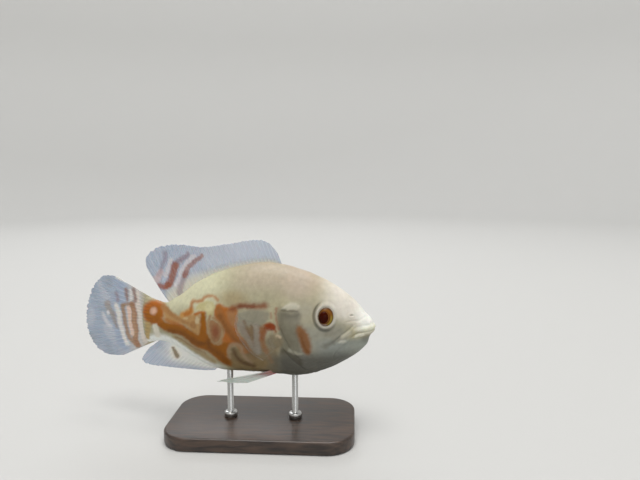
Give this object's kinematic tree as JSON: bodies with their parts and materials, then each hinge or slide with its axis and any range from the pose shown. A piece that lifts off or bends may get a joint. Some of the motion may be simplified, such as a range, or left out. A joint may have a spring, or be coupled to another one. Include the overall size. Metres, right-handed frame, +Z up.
{
  "type": "oscar fish model on a display stand",
  "caption": "Life-size still model of a young albino tiger oscar fish, fins spread and tail bent slightly left, held by two short rods on a flat base.",
  "frame": {"origin": "middle of the underside of the stand's base", "axes": "+X towards the fish's snout, +Y to the fish's left, +Z up"},
  "size_m": [0.1606, 0.054, 0.1007],
  "materials": {
    "head_skin": "cream, satin, faintly wet",
    "scaled_skin": "cream with orange marbling, satin scales",
    "iris": "orange, glossy",
    "pupil": "dark red, glossy",
    "fin": "thin, milky, part clear",
    "stand_wood": "dark stain, satin",
    "stand_steel": "brushed"
  },
  "bodies": {
    "root": {"head": "head_skin", "lower_jaw": "head_skin", "gill_cover_right": "head_skin", "gill_cover_left": "head_skin", "torso": "scaled_skin", "tail_stalk": "scaled_skin", "eye_right": "iris", "eye_left": "iris", "pupil_right": "pupil", "pupil_left": "pupil", "dorsal_fin": "fin", "anal_fin": "fin", "caudal_fin": "fin", "pectoral_fin_right": "fin", "pectoral_fin_left": "fin", "pelvic_fin_right": "fin", "pelvic_fin_left": "fin", "stand_base": "stand_wood", "stand_rod_front": "stand_steel", "stand_rod_rear": "stand_steel"}
  },
  "joints": []
}
